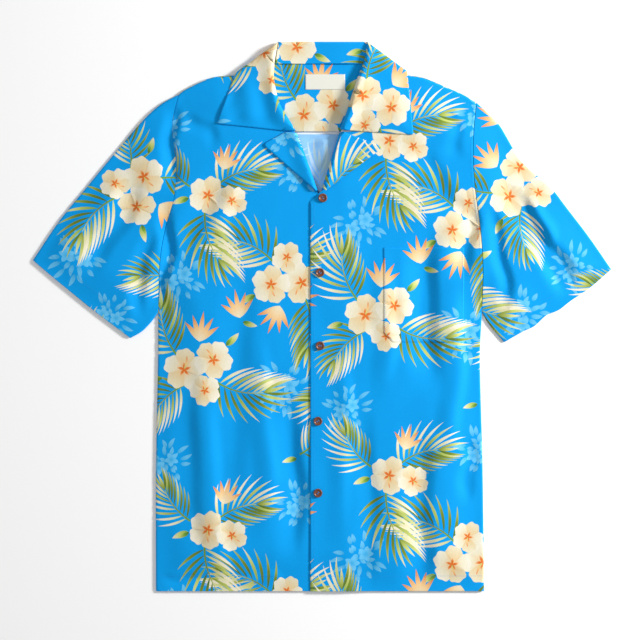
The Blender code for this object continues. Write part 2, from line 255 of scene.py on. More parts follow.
def creases(p):
    """Sum of the troughs less the ridges; each wanders a little and fades at its ends."""
    total = np.zeros(len(p))
    for number, (x0, y0, x1, y1, half_width, depth) in enumerate(CREASES):
        start, run = array((x0, y0)), array((x1 - x0, y1 - y0))
        length = np.linalg.norm(run)
        along = (p - start) @ run / length**2
        aside = ((p - start) @ array((-run[1], run[0]))) / length
        aside = aside + 5 * np.sin(along * 4.3 + number) + 2 * np.sin(along * 11 + 2 * number)
        ends = smooth((np.minimum(along, 1 - along) + 0.16) / 0.4)
        near = np.where(aside > 0, 0.75, 1.25) * half_width  # steeper on one flank
        total += depth * ends * (1 - smooth(abs(aside) / near))
    return total


def waver(p):
    """Low uneven rise and fall of cloth that has been worn and smoothed by hand."""
    x, y = p[:, 0], p[:, 1]
    slow = np.sin(x / 31 + 1.7 * np.sin(y / 83)) * np.sin(y / 118 + 0.6 + 0.8 * np.sin(x / 64))
    fine = np.sin(x / 11.3 + 2.1 * np.sin(y / 37)) * np.sin(y / 29 + 1.4 * np.sin(x / 23))
    return 0.8 * slow + 0.16 * fine


def upper(p):
    """Top of the upper layer: the fronts and the sleeves' upper side."""
    rest = 2 * PLY + SEAM + over_fall(p)
    rest += (PLY + SEAM) * ramp(p[:, 1], *YOKE_SEAM_STEP) * (1 - ramp(abs(p[:, 0]), 245, 290))
    edge = distance(p, *silhouette)
    stiff = 1 - smooth(abs(p[:, 0] - PLACKET_X) / PLACKET_REACH)
    loft = (LOFT + (PLACKET_LOFT - LOFT) * stiff) * smooth(edge / LOFT_REACH)
    loft = loft - creases(p) * smooth(edge / CREASE_REACH) + waver(p) * smooth(edge / WAVER_REACH)
    return rest + np.maximum(loft, LOWEST_SAG)


def left_front(p):
    """The left front laps over the right one, and steps down to it off the placket."""
    return upper(p) + PLACKET_LIFT * (1 - ramp(p[:, 0], 30, 70)) * (1 - ramp(p[:, 1], 190, 243))


def fold_down(p, z, lines, reach, low):
    """Round a layer over to height low within reach of the edges where it folds."""
    near = np.clip(distance(p, *lines) / reach, 0, 1)
    return low + (z - low) * np.sqrt(1 - (1 - near) ** 2)


# ---- printed cloth
# Azure poplin with a tossed botanical print: palm fronds, five-petalled blossoms, buds and tonal
# leaf sprays, drawn here from formulas on a half-drop repeat that every panel is cut from.

REPEAT = (450, 480)


def srgb(*colour):
    return tuple((c / 255 / 12.92) if c < 11 else ((c / 255 + 0.055) / 1.055) ** 2.4 for c in colour)


GROUND = srgb(0, 158, 235)
TONAL, TONAL_LIGHT = srgb(56, 176, 236), srgb(104, 198, 246)
CREAM, IVORY, SAND = srgb(240, 232, 202), srgb(248, 243, 226), srgb(236, 216, 172)
PEACH, ORANGE = srgb(242, 200, 140), srgb(226, 116, 46)
OLIVE, LEAF, LIME, MOSS = srgb(122, 142, 44), srgb(112, 160, 60), srgb(196, 206, 112), srgb(70, 110, 60)


def shape(points, start, end, stops, veins=0.0):
    """One flat area of ink: its outline, the axis its colours run along and their three stops."""
    return {"points": array(points), "start": array(start), "end": array(end), "stops": stops, "veins": veins}


def blade(start, angle, length, width, bend, stops, steps=7, blunt=1.0, veins=0.25):
    """Slender leaf that curves away from its foot."""
    t = np.linspace(0, 1, steps + 1)
    heading = angle + bend * t
    strides = np.c_[np.cos(heading), np.sin(heading)][:-1] * (length / steps)
    spine = array(start) + np.vstack([(0, 0), np.cumsum(strides, 0)])
    half = width / 2 * np.sin(np.pi * t**0.8) ** blunt
    side = np.c_[-np.sin(heading), np.cos(heading)] * half[:, None]
    points = np.vstack([spine + side, (spine - side)[-2:0:-1]])
    return shape(points, spine[0], spine[-1], stops, veins)


def frond(x, y, size, turn, curl):
    """Palm frond: paired blades down a curved rib, pale on one side and green on the other."""
    made, pairs = [], 9
    spine = [array((x, y))]
    for i in range(pairs):
        heading = turn + curl * i / pairs
        spine.append(spine[-1] + array((math.cos(heading), math.sin(heading))) * size * 0.72 / pairs)
    for i in range(1, pairs + 1):
        share = i / pairs
        heading = turn + curl * share
        reach = size * (0.30 + 0.36 * math.sin(math.pi * (0.18 + 0.62 * share)))
        spread = 1.25 - 0.85 * share
        pale = (LIME, CREAM, IVORY) if i % 3 else (OLIVE, LIME, CREAM)
        green = (MOSS, OLIVE, LIME) if i % 4 else (LEAF, LIME, CREAM)
        for side, stops in ((1, pale), (-1, green)):
            length = reach * (1 if side > 0 else 0.88)
            made.append(blade(spine[i], heading + side * spread, length, size * 0.043, -side * 0.5, stops))
    made.append(blade(spine[-1], turn + curl, size * 0.34, size * 0.05, 0.15, (OLIVE, LIME, CREAM)))
    rib = np.vstack(spine)
    across = np.c_[-np.gradient(rib[:, 1]), np.gradient(rib[:, 0])]
    across *= (np.linspace(1.5, 0.4, len(rib)) / np.linalg.norm(across, axis=1))[:, None]
    made.append(shape(np.vstack([rib + across, (rib - across)[::-1]]), rib[0], rib[-1], (LEAF, OLIVE, LIME)))
    return made


def blossom(x, y, size, turn, _curl):
    """Five broad petals with a warm heart, and a stamen that leans out over one of them."""
    made = []
    centre = array((x, y))
    for k in (0, 2, 4, 1, 3):
        angle = turn + math.tau * k / 5
        t = np.linspace(-1, 1, 15)
        out = array((math.cos(angle), math.sin(angle)))
        side = array((-out[1], out[0]))
        reach = size * 0.53 * (1 - 0.30 * abs(t) ** 2.6 + 0.035 * np.cos(9 * t + k))
        rim = centre + out * (reach * np.cos(t * 0.62))[:, None]
        rim = rim + side * (reach * np.sin(t * 0.62) * 1.12)[:, None]
        made.append(shape(np.vstack([centre - out * 0.5, rim]), centre, centre + out * size * 0.53,
                          (PEACH, SAND, CREAM) if k % 2 else (PEACH, CREAM, IVORY), 0.9))
    for k in range(5):
        angle = turn + math.tau * k / 5
        made.append(blade(centre, angle, size * 0.2, size * 0.07, 0.3, (ORANGE, ORANGE, PEACH)))
    lean = turn + 0.9
    made.append(blade(centre, lean, size * 0.36, size * 0.055, 0.5, (LIME, PEACH, ORANGE), blunt=0.6))
    return made


def bud(x, y, size, turn, _curl):
    return [blade((x, y), turn, size, size * 0.36, 0.2, (LEAF, LIME, CREAM), blunt=0.8),
            blade((x, y), turn + 0.35, size * 0.6, size * 0.2, -0.3, (MOSS, LEAF, LIME))]


def spike(x, y, size, turn, _curl):
    """Small spray of pointed bracts with burnt tips."""
    made = []
    for k in (-2, 2, -1, 1, 0):
        made.append(blade((x, y), turn + 0.34 * k, size * (1 - 0.1 * abs(k)), size * 0.17, 0.12 * k,
                          (CREAM, PEACH, ORANGE)))
    return made


def spray(x, y, size, turn, _curl):
    """Tone-on-tone cluster: lobed leaves round two small open flowers."""
    made, tonal = [], (TONAL, TONAL_LIGHT, TONAL_LIGHT)
    for ring, count, reach in ((0.27, 13, 0.25), (0.13, 9, 0.2), (0.02, 5, 0.16)):
        for k in range(count):
            angle = turn + math.tau * (k + 0.3 * math.sin(2.4 * k)) / count
            foot = array((x, y)) + array((math.cos(angle), math.sin(angle))) * size * ring
            leaf = size * reach * (0.85 + 0.25 * math.sin(5.3 * k))
            lean, bend = angle + 0.5 * math.sin(3.1 * k), 0.7 * math.cos(1.7 * k)
            made.append(blade(foot, lean, leaf, size * 0.075, bend, tonal, 6, 0.8, veins=0.9))
    for dx, dy in ((0.1, 0.06), (-0.13, -0.1)):
        for k in range(5):
            angle = turn + math.tau * k / 5
            petal_foot = (x + dx * size, y + dy * size)
            made.append(blade(petal_foot, angle, size * 0.14, size * 0.09, 0.0, tonal, 5, 0.6))
    return made


LARGE_GROUP = (
    # drawing, x, y, size, turn in degrees, curl in radians
    (frond, -32, 22, 98, 128, -0.7),
    (frond, 22, -14, 102, -34, 0.8),
    (frond, -22, -20, 84, 208, 0.6),
    (blossom, -22, 2, 56, 15, 0),
    (blossom, 20, 16, 52, 60, 0),
    (blossom, 8, -28, 42, 40, 0),
    (bud, 38, 36, 26, 40, 0),
    (bud, -54, -10, 24, 190, 0),
    (spike, 0, 42, 44, 82, 0),
)
SMALL_GROUP = (
    (frond, 12, 16, 104, 62, 0.7),
    (frond, -14, -6, 92, 196, -0.7),
    (frond, 18, -22, 80, -60, -0.6),
    (blossom, 0, 0, 52, 5, 0),
    (blossom, -28, 22, 42, 55, 0),
    (bud, 26, -8, 26, -10, 0),
    (spike, -36, -24, 38, 230, 0),
)
REPEAT_LAYOUT = (
    # group, x, y, turn in degrees
    (((spray, 0, 0, 92, 20, 0),), 212, 66, 0),
    (((spray, 0, 0, 84, 75, 0),), 62, 226, 0),
    (((spray, 0, 0, 88, 140, 0),), 398, 214, 0),
    (((spray, 0, 0, 80, 210, 0),), 236, 380, 0),
    (((spray, 0, 0, 76, 265, 0),), 44, 440, 0),
    (LARGE_GROUP, 92, 92, 0),
    (SMALL_GROUP, 322, 96, 35),
    (LARGE_GROUP, 218, 226, 165),
    (SMALL_GROUP, 104, 344, 205),
    (LARGE_GROUP, 372, 340, -70),
    (((frond, 0, 0, 72, 10, 0.7), (bud, -6, -4, 22, 170, 0)), 236, 452, 20),
    (((spike, 0, 0, 42, 100, 0), (bud, 4, -6, 22, -20, 0)), 150, 168, 0),
    (((spike, 0, 0, 40, 60, 0),), 420, 44, 0),
)


def turned_about(point, degrees):
    c, s = math.cos(math.radians(degrees)), math.sin(math.radians(degrees))
    return point[0] * c - point[1] * s, point[0] * s + point[1] * c


repeat_shapes = []
for group, group_x, group_y, group_turn in REPEAT_LAYOUT:
    for draw, x, y, size, turn, curl in group:
        dx, dy = turned_about((x, y), group_turn)
        repeat_shapes += draw(group_x + dx, group_y + dy, size, math.radians(turn + group_turn), curl)


def print_over(low, high, origin, turn):
    """The shapes that fall on a panel, given where it was cut from the length of cloth."""
    c, s = math.cos(turn), math.sin(turn)
    spin = array(((c, -s), (s, c)))
    corners = array([(x, y) for x in (low[0], high[0]) for y in (low[1], high[1])])
    on_cloth = (corners - origin) @ spin
    first = np.floor(on_cloth.min(0) / REPEAT).astype(int) - 1
    last = np.ceil(on_cloth.max(0) / REPEAT).astype(int) + 1
    found = []
    for i in range(first[0], last[0]):
        for j in range(first[1], last[1]):
            shift = array((i * REPEAT[0], (j + 0.5 * (i % 2)) * REPEAT[1]))
            for item in repeat_shapes:
                moved = (item["points"] + shift) @ spin.T + origin
                if (moved.max(0) > low).all() and (moved.min(0) < high).all():
                    found.append({**item, "points": moved, "start": (item["start"] + shift) @ spin.T + origin,
                                  "end": (item["end"] + shift) @ spin.T + origin})
    return found


def inside(points, outline):
    x, y = points.T
    hit = np.zeros(len(points), bool)
    for (x0, y0), (x1, y1) in zip(outline, np.roll(outline, -1, 0)):
        crossing = (y0 > y) != (y1 > y)
        hit ^= crossing & (x < (x1 - x0) * (y - y0) / (y1 - y0 + 1e-12) + x0)
    return hit


INSIDE_ONLY = 1  # the triangulation keeps what lies in the panel or in a shape
WELD = 0.05  # and joins points nearer than this, in millimetres


def signed_area(outline):
    x, y = outline.T
    return np.sum(x * np.roll(y, -1) - y * np.roll(x, -1)) / 2


def anticlockwise(outline):
    return outline if signed_area(outline) > 0 else outline[::-1]


def cut(outline, origin, turn=0.0, spacing=5.0, rims=(0.7, 1.8, 3.6), printed=True):
    """Triangles of a flat panel that follow both its outline and its print, with each corner's ink."""
    outline = anticlockwise(outline)
    low, high = outline.min(0), outline.max(0)
    shapes = print_over(low, high, array(origin), turn) if printed else []
    xs = np.arange(low[0] + spacing / 2, high[0], spacing)
    ys = np.arange(low[1] + spacing / 2, high[1], spacing * 0.87)
    grid = np.stack(np.meshgrid(xs, ys), -1)
    grid[1::2, :, 0] += spacing / 2
    grid = grid.reshape(-1, 2)
    ring = np.vstack([outline, outline[:1]])
    grid = grid[inside(grid, outline) & (distance(grid, ring) > rims[-1] + 1.2)]
    tangent = np.roll(outline, -1, 0) - np.roll(outline, 1, 0)
    normal = np.c_[-tangent[:, 1], tangent[:, 0]] / np.linalg.norm(tangent, axis=1)[:, None]
    extra = [outline + normal * rim for rim in rims]
    extra = [e[inside(e, outline) & (distance(e, ring) > rim * 0.9)] for e, rim in zip(extra, rims)]
    points, faces = [outline], [list(range(len(outline)))]
    total = len(outline)
    for item in shapes:
        faces.append(list(range(total, total + len(item["points"]))))
        points.append(anticlockwise(item["points"]))
        total += len(item["points"])
    everything = [Vector(p) for p in np.vstack(points + [grid] + extra)]
    verts, _, tris, _, _, origins = delaunay_2d_cdt(everything, [], faces, INSIDE_ONLY, WELD, True)
    places = array([tuple(v) for v in verts])
    boxes = [(item["points"].min(0), item["points"].max(0)) for item in shapes]

    def top_shape(triangle, owners):
        """The last shape printed here; 0 is bare ground."""
        centre = places[triangle].mean(0)
        boxed = [k for k in owners if k and ((boxes[k - 1][0] <= centre) & (boxes[k - 1][1] >= centre)).all()]
        return max(boxed, default=0)

    kept = [(t, top_shape(t, o)) for t, o in zip(tris, origins) if 0 in o]
    tris, layer = np.array([t for t, _ in kept]), np.array([o for _, o in kept])
    used, tris = np.unique(tris, return_inverse=True)
    places, tris = places[used], tris.reshape(-1, 3)
    ink = np.empty((len(tris), 3, 4))
    ink[...] = (*GROUND, 0)
    for k in np.unique(layer[layer > 0]):
        item, chosen = shapes[k - 1], layer == k
        at = places[tris[chosen]]
        axis = item["end"] - item["start"]
        share = np.clip((at - item["start"]) @ axis / (axis @ axis), 0, 1)[..., None]
        a, b, c = (array(stop) for stop in item["stops"])
        colour = np.where(share < 0.5, a + (b - a) * share * 2, b + (c - b) * (share * 2 - 1))
        ink[chosen] = np.concatenate([colour, np.full(share.shape, item["veins"])], -1)
    return places, tris, ink


def cloth_mesh(name, layers, materials, thickness=CLOTH):
    """One piece from its laid layers, each (cut, height, facing), with its thickness and wrong side."""
    verts, faces, inks, maps, base = [], [], [], [], 0
    for (places, tris, ink), height, up, origin in layers:
        verts.append(np.c_[places, height(places)])
        order = tris if up else tris[:, ::-1]
        faces.append(order + base)
        inks.append(ink if up else ink[:, ::-1])
        maps.append((places - origin)[order])
        base += len(places)
    verts, faces, inks = np.vstack(verts) * MM, np.vstack(faces), np.vstack(inks)
    mesh = bpy.data.meshes.new(name)
    mesh.from_pydata(verts.tolist(), [], faces.tolist())
    colours = mesh.color_attributes.new("ink", "FLOAT_COLOR", "CORNER")
    colours.data.foreach_set("color", inks.astype(np.float32).ravel())
    grain = mesh.uv_layers.new(name="grain")
    grain.uv.foreach_set("vector", (np.vstack(maps) * MM).astype(np.float32).ravel())
    mesh.shade_smooth()
    for finish in materials:
        mesh.materials.append(finish)
    made = link(bpy.data.objects.new(name, mesh))
    wall = made.modifiers.new("thickness", "SOLIDIFY")
    wall.thickness = thickness * MM
    wall.offset = -1
    wall.material_offset = len(materials) - 1
    wall.material_offset_rim = 0
    shading = made.modifiers.new("even_shading", "WEIGHTED_NORMAL")
    shading.mode = "FACE_AREA"
    return made


def laid(piece, nodes, outlines):
    """Attach a laid piece of cloth to the root and hide its solid parts; the size and area that it was cut to
    are worked out but not used.
    """
    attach(piece, "root")
    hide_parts(*nodes)
    whole = np.vstack(outlines)
    width, length = np.ptp(whole, axis=0) * MM
    area = sum(abs(signed_area(o)) for o in outlines) * MM * MM
    length *= max(1.0, area / (width * length) * 1.001)  # layers that were cut one beyond another


# The cloth's finish: ink from the print, a plain weave in the bump and the colour, and a dry sheen.


class Socket:
    """A node's output that takes Python arithmetic."""

    def __init__(self, tree, output):
        self.tree, self.output = tree, output

    def maths(self, operation, *others):
        made = self.tree.nodes.new("ShaderNodeMath")
        made.operation = operation
        for slot, value in zip(made.inputs, (self, *others)):
            if isinstance(value, Socket):
                self.tree.links.new(value.output, slot)
            else:
                slot.default_value = value
        return Socket(self.tree, made.outputs[0])

    def __add__(self, other):
        return self.maths("ADD", other)

    def __mul__(self, other):
        return self.maths("MULTIPLY", other)

    def __rsub__(self, other):
        return (self * -1) + other

    __radd__, __rmul__ = __add__, __mul__


def node(tree, kind, settings=(), **values):
    """Any other node: its settings first, then values or links for its named sockets."""
    made = tree.nodes.new(kind)
    for key, value in dict(settings).items():
        setattr(made, key, value)
    for key, value in values.items():
        slot = made.inputs[int(key[1:])] if key[0] == "_" else made.inputs[key.replace("_", " ")]
        if isinstance(value, Socket):
            tree.links.new(value.output, slot)
        else:
            slot.default_value = value
    return made


def first_output(made):
    return Socket(made.id_data, made.outputs[0])


def noise(tree, place, **settings):
    return first_output(node(tree, "ShaderNodeTexNoise", Vector=place, **settings))


def woven_finish(name, wrong_side=False, thread=0.00042):
    """Poplin with the print on its right side; the wrong side shows it faded through the cloth."""
    made = bpy.data.materials.new(name)
    made.use_nodes = True
    tree = made.node_tree
    shader = tree.nodes["Principled BSDF"]
    ink = node(tree, "ShaderNodeVertexColor", {"layer_name": "ink"})
    colour, veins = Socket(tree, ink.outputs["Color"]), Socket(tree, ink.outputs["Alpha"])
    grain = Socket(tree, node(tree, "ShaderNodeUVMap", {"uv_map": "grain"}).outputs[0])
    slub = noise(tree, grain, Scale=420.0, Detail=3.0, Roughness=0.6)
    patch = noise(tree, grain, Scale=24.0, Detail=2.0)
    streak = node(tree, "ShaderNodeMapping", _0=grain)
    streak.inputs["Scale"].default_value = (1, 0.25, 1)
    vein = noise(tree, first_output(streak), Scale=520.0, Detail=2.0)
    waves = []
    for direction in ("X", "Y"):
        settings = {"wave_type": "BANDS", "bands_direction": direction}
        wave = node(tree, "ShaderNodeTexWave", settings, Vector=grain, Scale=0.314 / thread, Distortion=0.0)
        waves.append(Socket(tree, wave.outputs["Fac"]))
    weave = waves[0] * waves[1]
    shade = 0.86 + 0.10 * slub + 0.07 * patch + 0.09 * weave
    shade = shade * (1 - veins * (vein * 0.16))
    scaled = node(tree, "ShaderNodeVectorMath", {"operation": "SCALE"}, _0=colour, Scale=shade)
    final = first_output(scaled)
    if wrong_side:
        faded = node(tree, "ShaderNodeMix", {"data_type": "RGBA"}, _0=0.66, _6=final)
        faded.inputs[7].default_value = (*srgb(176, 218, 255), 1)
        final = Socket(tree, faded.outputs[2])
    tree.links.new(final.output, shader.inputs["Base Color"])
    shader.inputs["Roughness"].default_value = 0.72
    shader.inputs["Specular IOR Level"].default_value = 0.12
    shader.inputs["Sheen Weight"].default_value = 0.03
    shader.inputs["Sheen Roughness"].default_value = 0.4
    relief = weave * 0.7 + slub * 0.5
    bump = node(tree, "ShaderNodeBump", Strength=0.35, Distance=0.00018, Height=relief)
    tree.links.new(bump.outputs[0], shader.inputs["Normal"])
    return made


right_side = woven_finish("azure_print")
wrong_side = woven_finish("azure_print_wrong_side", wrong_side=True)
cloth_faces = (right_side, wrong_side)

# ---- back, yoke and yoke lining
# The back hangs from a doubled yoke and lies on the table right side down. Its wrong side shows in
# the open neck below the lining, with the soft pleats that the cloth takes under the yoke seam.

UNDER_ROUND = 2.0  # reach of the lower layer's lift at an edge


def torso(low_y, high_y):
    """Outline across the body between two heights."""
    lines = {}
    for s in SIGN:
        line = np.vstack([side_line[s], arm_line[s][1:], shoulder_line[s][1:]])
        lines[s] = line[(line[:, 1] >= low_y) & (line[:, 1] <= high_y)]
    bottom = straight(lines["right"][0], lines["left"][0])[1:-1]
    top = straight(lines["left"][-1], lines["right"][-1])[1:-1]
    return np.vstack([bottom, lines["left"], top, lines["right"][::-1]])


def back_height(p):
    """Flat on the table, rising at the side seams to meet the fronts; pleated inside the neck."""
    x, y = p[:, 0], p[:, 1]
    pleats = np.sin(x / 5.6 + 0.8 * np.sin(y / 31)) * 0.9 + np.sin(x / 11.0 + 1.0) * 1.5
    zone = np.exp(-((x / 60) ** 4)) * smooth((y - 140) / 40) * smooth((YOKE_SEAM_Y - y) / 14)
    return fold_down(p, (2.2 + pleats) * zone, [side_line[s] for s in SIGN], UNDER_ROUND, 1.1)


back_outline = torso(HEM_Y, YOKE_SEAM_Y - SEAM)
origin = array((-40, 30))
back = cloth_mesh("back_cloth", [(cut(back_outline, origin), back_height, False, origin)], cloth_faces)
laid(back, ["back_panel"], [back_outline])

yoke_outline = torso(YOKE_SEAM_Y, NECK_SEAM_Y)
origin = array((60, 10))
shoulder_edges = [shoulder_line[s] for s in SIGN]


def yoke_height(p):
    return fold_down(p, over_fall(p), shoulder_edges, UNDER_ROUND, 2.0 + over_fall(p))


def lining_height(p):
    return over_fall(p) + 2 * PLY + 0.25 * waver(p)


yoke = cloth_mesh("yoke_cloth", [(cut(yoke_outline, origin), yoke_height, False, origin)], cloth_faces)
laid(yoke, ["back_yoke"], [yoke_outline])
origin = array((-96, 196))
layers = [(cut(yoke_outline, origin), lining_height, True, origin)]
lining = cloth_mesh("yoke_lining_cloth", layers, cloth_faces)
laid(lining, ["yoke_lining"], [yoke_outline])

# ---- fronts
# Two fronts cut with the grain down the button line. The left one laps over the right one, and both
# open above the first button, where the facing rolls out as the lapel.

NECK_INSET = 2.5  # the front itself stops just outside the line on which the lapel rolls
PRINT_ORIGIN = {"right": array((-268, -170)), "left": array((-8, -92))}
SIDE_ROUND, SIDE_MEET = 3.0, 1.3  # the rounding of a folded edge, and where the layers meet
ARM_SEAM_REACH, ARM_SEAM_SINK = 1.8, 0.8
PLACKET_EDGE_REACH, PLACKET_EDGE_DROP = 1.4, 0.9


def front_outline(side):
    inner = np.vstack([straight(*FRONT_EDGE[side][:2]), roll_line[side]])
    inset = np.where(inner[:, 1] > 176, NECK_INSET, 0) * SIGN[side]
    inner = inner + np.c_[inset, np.zeros(len(inner))]
    outer = np.vstack([side_line[side], arm_line[side][1:], shoulder_line[side][1:]])
    bottom = straight(inner[0], outer[0])[1:-1]
    top = straight(outer[-1], inner[-1])[1:-1]
    return np.vstack([bottom, outer, top, inner[::-1]])


front_edges = {s: [side_line[s], shoulder_line[s]] for s in SIGN}


def front_top(side):
    return left_front if side == "left" else upper


def front_height(side):
    def height(p):
        z = fold_down(p, front_top(side)(p), front_edges[side], SIDE_ROUND, SIDE_MEET)
        z = fold_down(p, z, [arm_line[side]], ARM_SEAM_REACH, z - ARM_SEAM_SINK)
        if side == "left":
            placket = straight(*FRONT_EDGE["left"][:2])
            z = fold_down(p, z, [placket], PLACKET_EDGE_REACH, z - PLACKET_EDGE_DROP)
        return z

    return height


for side in SIGN:
    outline = front_outline(side)
    origin = PRINT_ORIGIN[side]
    layers = [(cut(outline, origin), front_height(side), True, origin)]
    front = cloth_mesh(f"front_{side}_cloth", layers, cloth_faces)
    laid(front, [f"front_{side}"], [outline])

# ---- sleeves
# Short set-in sleeves, each a tube pressed flat: one fold along the top and the seam underneath,
# open at the armhole and at the turned hem.

SLEEVE_TURN = {"right": math.radians(-52), "left": math.radians(52)}
SLEEVE_ROUND, SLEEVE_MEET = 3.2, 1.5
sleeve_folds = {s: [top_line[s], under_line[s]] for s in SIGN}


def sleeve_upper(side):
    return lambda p: fold_down(p, upper(p), sleeve_folds[side], SLEEVE_ROUND, SLEEVE_MEET)


def sleeve_lower(side):
    return lambda p: fold_down(p, np.zeros(len(p)), sleeve_folds[side], UNDER_ROUND, SIDE_MEET)


for side in SIGN:
    outward, inward = hem_line[side][::-1][1:], under_line[side][::-1][1:-1]
    outline = np.vstack([arm_line[side], top_line[side][1:], outward, inward])
    upper_origin, lower_origin = array((SIGN[side] * 300, 60)), array((SIGN[side] * 330, 190))
    turn = SLEEVE_TURN[side]
    layers = [
        (cut(outline, upper_origin, turn), sleeve_upper(side), True, upper_origin),
        (cut(outline, lower_origin, turn), sleeve_lower(side), False, lower_origin),
    ]
    sleeve = cloth_mesh(f"sleeve_{side}_cloth", layers, cloth_faces)
    laid(sleeve, [f"sleeve_{side}"], [outline, outline])

# ---- lapels
# The facings turned out along the roll line. Each is two plies, with a soft round roll on the
# inside and a pressed edge outside, topstitched on the shirt though no stitches are drawn here.

LAPEL_SEAT, LAPEL_ROLL, ROLL_REACH = 2.4, 3.4, 26  # rest on the front, extra lift where it rolls
LAPEL_TURN = (5.0, 3.4)  # the roll's own reach, and the height that it turns down to
PRESSED_REACH, PRESSED_DROP = 1.6, 1.3  # a pressed edge; its topstitching is not drawn
LAPEL_GRAIN, COLLAR_GRAIN = 0.3, 0.5  # turn of the cut on the cloth, in radians
FINE = 3.5  # spacing of points on small pieces
turned_faces = (right_side, right_side)


def rounded_corner(before, corner, after, radius, steps=6):
    """Arc-like corner between two straight edges, as points from the first edge to the second."""
    corner, before, after = array(corner), array(before), array(after)
    a = corner + (before - corner) / np.linalg.norm(before - corner) * radius
    b = corner + (after - corner) / np.linalg.norm(after - corner) * radius
    t = np.linspace(0, 1, steps + 1)[:, None]
    return (1 - t) ** 2 * a + 2 * t * (1 - t) * corner + t**2 * b


for side in SIGN:
    shape_of = LAPEL[side]
    roll = roll_line[side][roll_line[side][:, 1] <= shape_of["seam"][1]]
    tip = rounded_corner(shape_of["seam"], shape_of["tip"], shape_of["foot"], 8)
    above, below = straight(shape_of["seam"], tip[0])[:-1], straight(tip[-1], shape_of["foot"])[1:]
    outer = np.vstack([above, tip, below])
    outline = np.vstack([roll, outer])
    origin = PRINT_ORIGIN[side] + array((SIGN[side] * 120, 140))

    def lapel_height(p, side=side, roll=roll, outer=outer):
        lift = LAPEL_SEAT + LAPEL_ROLL * smooth(1 - distance(p, roll) / ROLL_REACH)
        z = front_top(side)(p) + lift
        z = fold_down(p, z, [roll], *LAPEL_TURN)
        return fold_down(p, z, [outer], PRESSED_REACH, z - PRESSED_DROP)

    layers = [(cut(outline, origin, LAPEL_GRAIN * SIGN[side], FINE), lapel_height, True, origin)]
    lapel = cloth_mesh(f"lapel_{side}_cloth", layers, turned_faces, TURNED_CLOTH)
    laid(lapel, [f"facing_{side}"], [outline])

# ---- collar
# One turned collar. It stands up inside the back neck, folds down behind the yoke, and its two ends
# wrap forward over the shoulders to lie on the fronts as leaves.

LEAF_SEAT, LEAF_PUFF, COLLAR_ROLL, LEAF_PLEAT = 2.3, 1.8, 3.2, 1.1
ROLL_TURN, FOLD_TURN = (5.5, 5.4), (4.0, 3.6)  # reach of each turn, and the height at its edge
STAND_TOP, STAND_TURN, FALL_TURN = 6.6, (4.0, 3.4), (3.0, 3.4)
FALL_HALF, FALL_Y = 92, 320


def leaf_outline(side):
    """One collar leaf: its outline, and the roll, shoulder fold and free edge in it."""
    shape_of = COLLAR[side]
    roll = roll_line[side][roll_line[side][:, 1] >= shape_of["gorge"][1]]
    roll = np.vstack([roll, straight(roll[-1], shape_of["corner"])[1:-1]])
    fold = neck_fold[side]
    point = rounded_corner(shape_of["shoulder"], shape_of["point"], shape_of["gorge"], 4)
    gorge_edge = straight(point[-1], shape_of["gorge"])[1:-1]
    free = np.vstack([straight(fold[-1], point[0])[1:-1], point, gorge_edge])
    return np.vstack([roll, fold, free]), roll, fold, free


collar_layers, collar_outlines = [], []
for side in SIGN:
    outline, roll, fold, free = leaf_outline(side)
    origin = array((SIGN[side] * 190, 250 if side == "left" else 330))

    def leaf_height(p, side=side, roll=roll, fold=fold, free=free):
        x, y = p[:, 0], p[:, 1]
        puff = LEAF_PUFF * smooth(distance(p, fold, free) / 22)
        puff = puff + COLLAR_ROLL * smooth(1 - distance(p, roll) / ROLL_REACH)
        pleats = LEAF_PLEAT * np.sin(x / 6.5 + y / 60) * smooth((y - 268) / 20) * smooth((356 - y) / 40)
        z = front_top(side)(p) + LEAF_SEAT + puff + pleats * (side == "right")
        z = fold_down(p, z, [roll], *ROLL_TURN)
        z = fold_down(p, z, [fold], *FOLD_TURN)
        return fold_down(p, z, [free], PRESSED_REACH, z - PRESSED_DROP)

    collar_layers.append((cut(outline, origin, COLLAR_GRAIN * SIGN[side], FINE), leaf_height, True, origin))
    collar_outlines.append(outline)

corners = [array(COLLAR[s]["corner"]) for s in ("right", "left")]
neck_top = straight(*corners)
stand_foot = straight((-67, NECK_SEAM_Y - 3), (63, NECK_SEAM_Y - 3))
stand = np.vstack([stand_foot, straight(*corners[::-1])])


def stand_height(p):
    return fold_down(p, STAND_TOP + 0.5 * np.sin(p[:, 0] / 15), [neck_top], *STAND_TURN)


origin = array((20, 300))
collar_layers.append((cut(stand, origin, spacing=FINE), stand_height, True, origin))
collar_outlines.append(stand)

shoulders = [array(COLLAR[s]["shoulder"]) for s in ("right", "left")]
fall_edge = straight((-FALL_HALF, FALL_Y), (FALL_HALF, FALL_Y))
fall = np.vstack([
    straight(shoulders[0], fall_edge[0])[:-1], fall_edge, straight(fall_edge[-1], shoulders[1])[1:],
    neck_fold["left"][::-1][1:], neck_top[::-1][1:], neck_fold["right"][1:-1],
])


def fall_height(p):
    return fold_down(p, np.zeros(len(p)), [neck_top, *neck_fold.values()], *FALL_TURN)


collar_layers.append((cut(fall, origin), fall_height, False, origin))
collar_outlines.append(fall)
collar = cloth_mesh("collar_cloth", collar_layers, turned_faces, TURNED_CLOTH)
laid(collar, ["collar"], collar_outlines)

# ---- chest pocket
# One ply on the left front, its print matched to the cloth beneath, with mitred lower corners and
# a deep turned hem along the mouth.

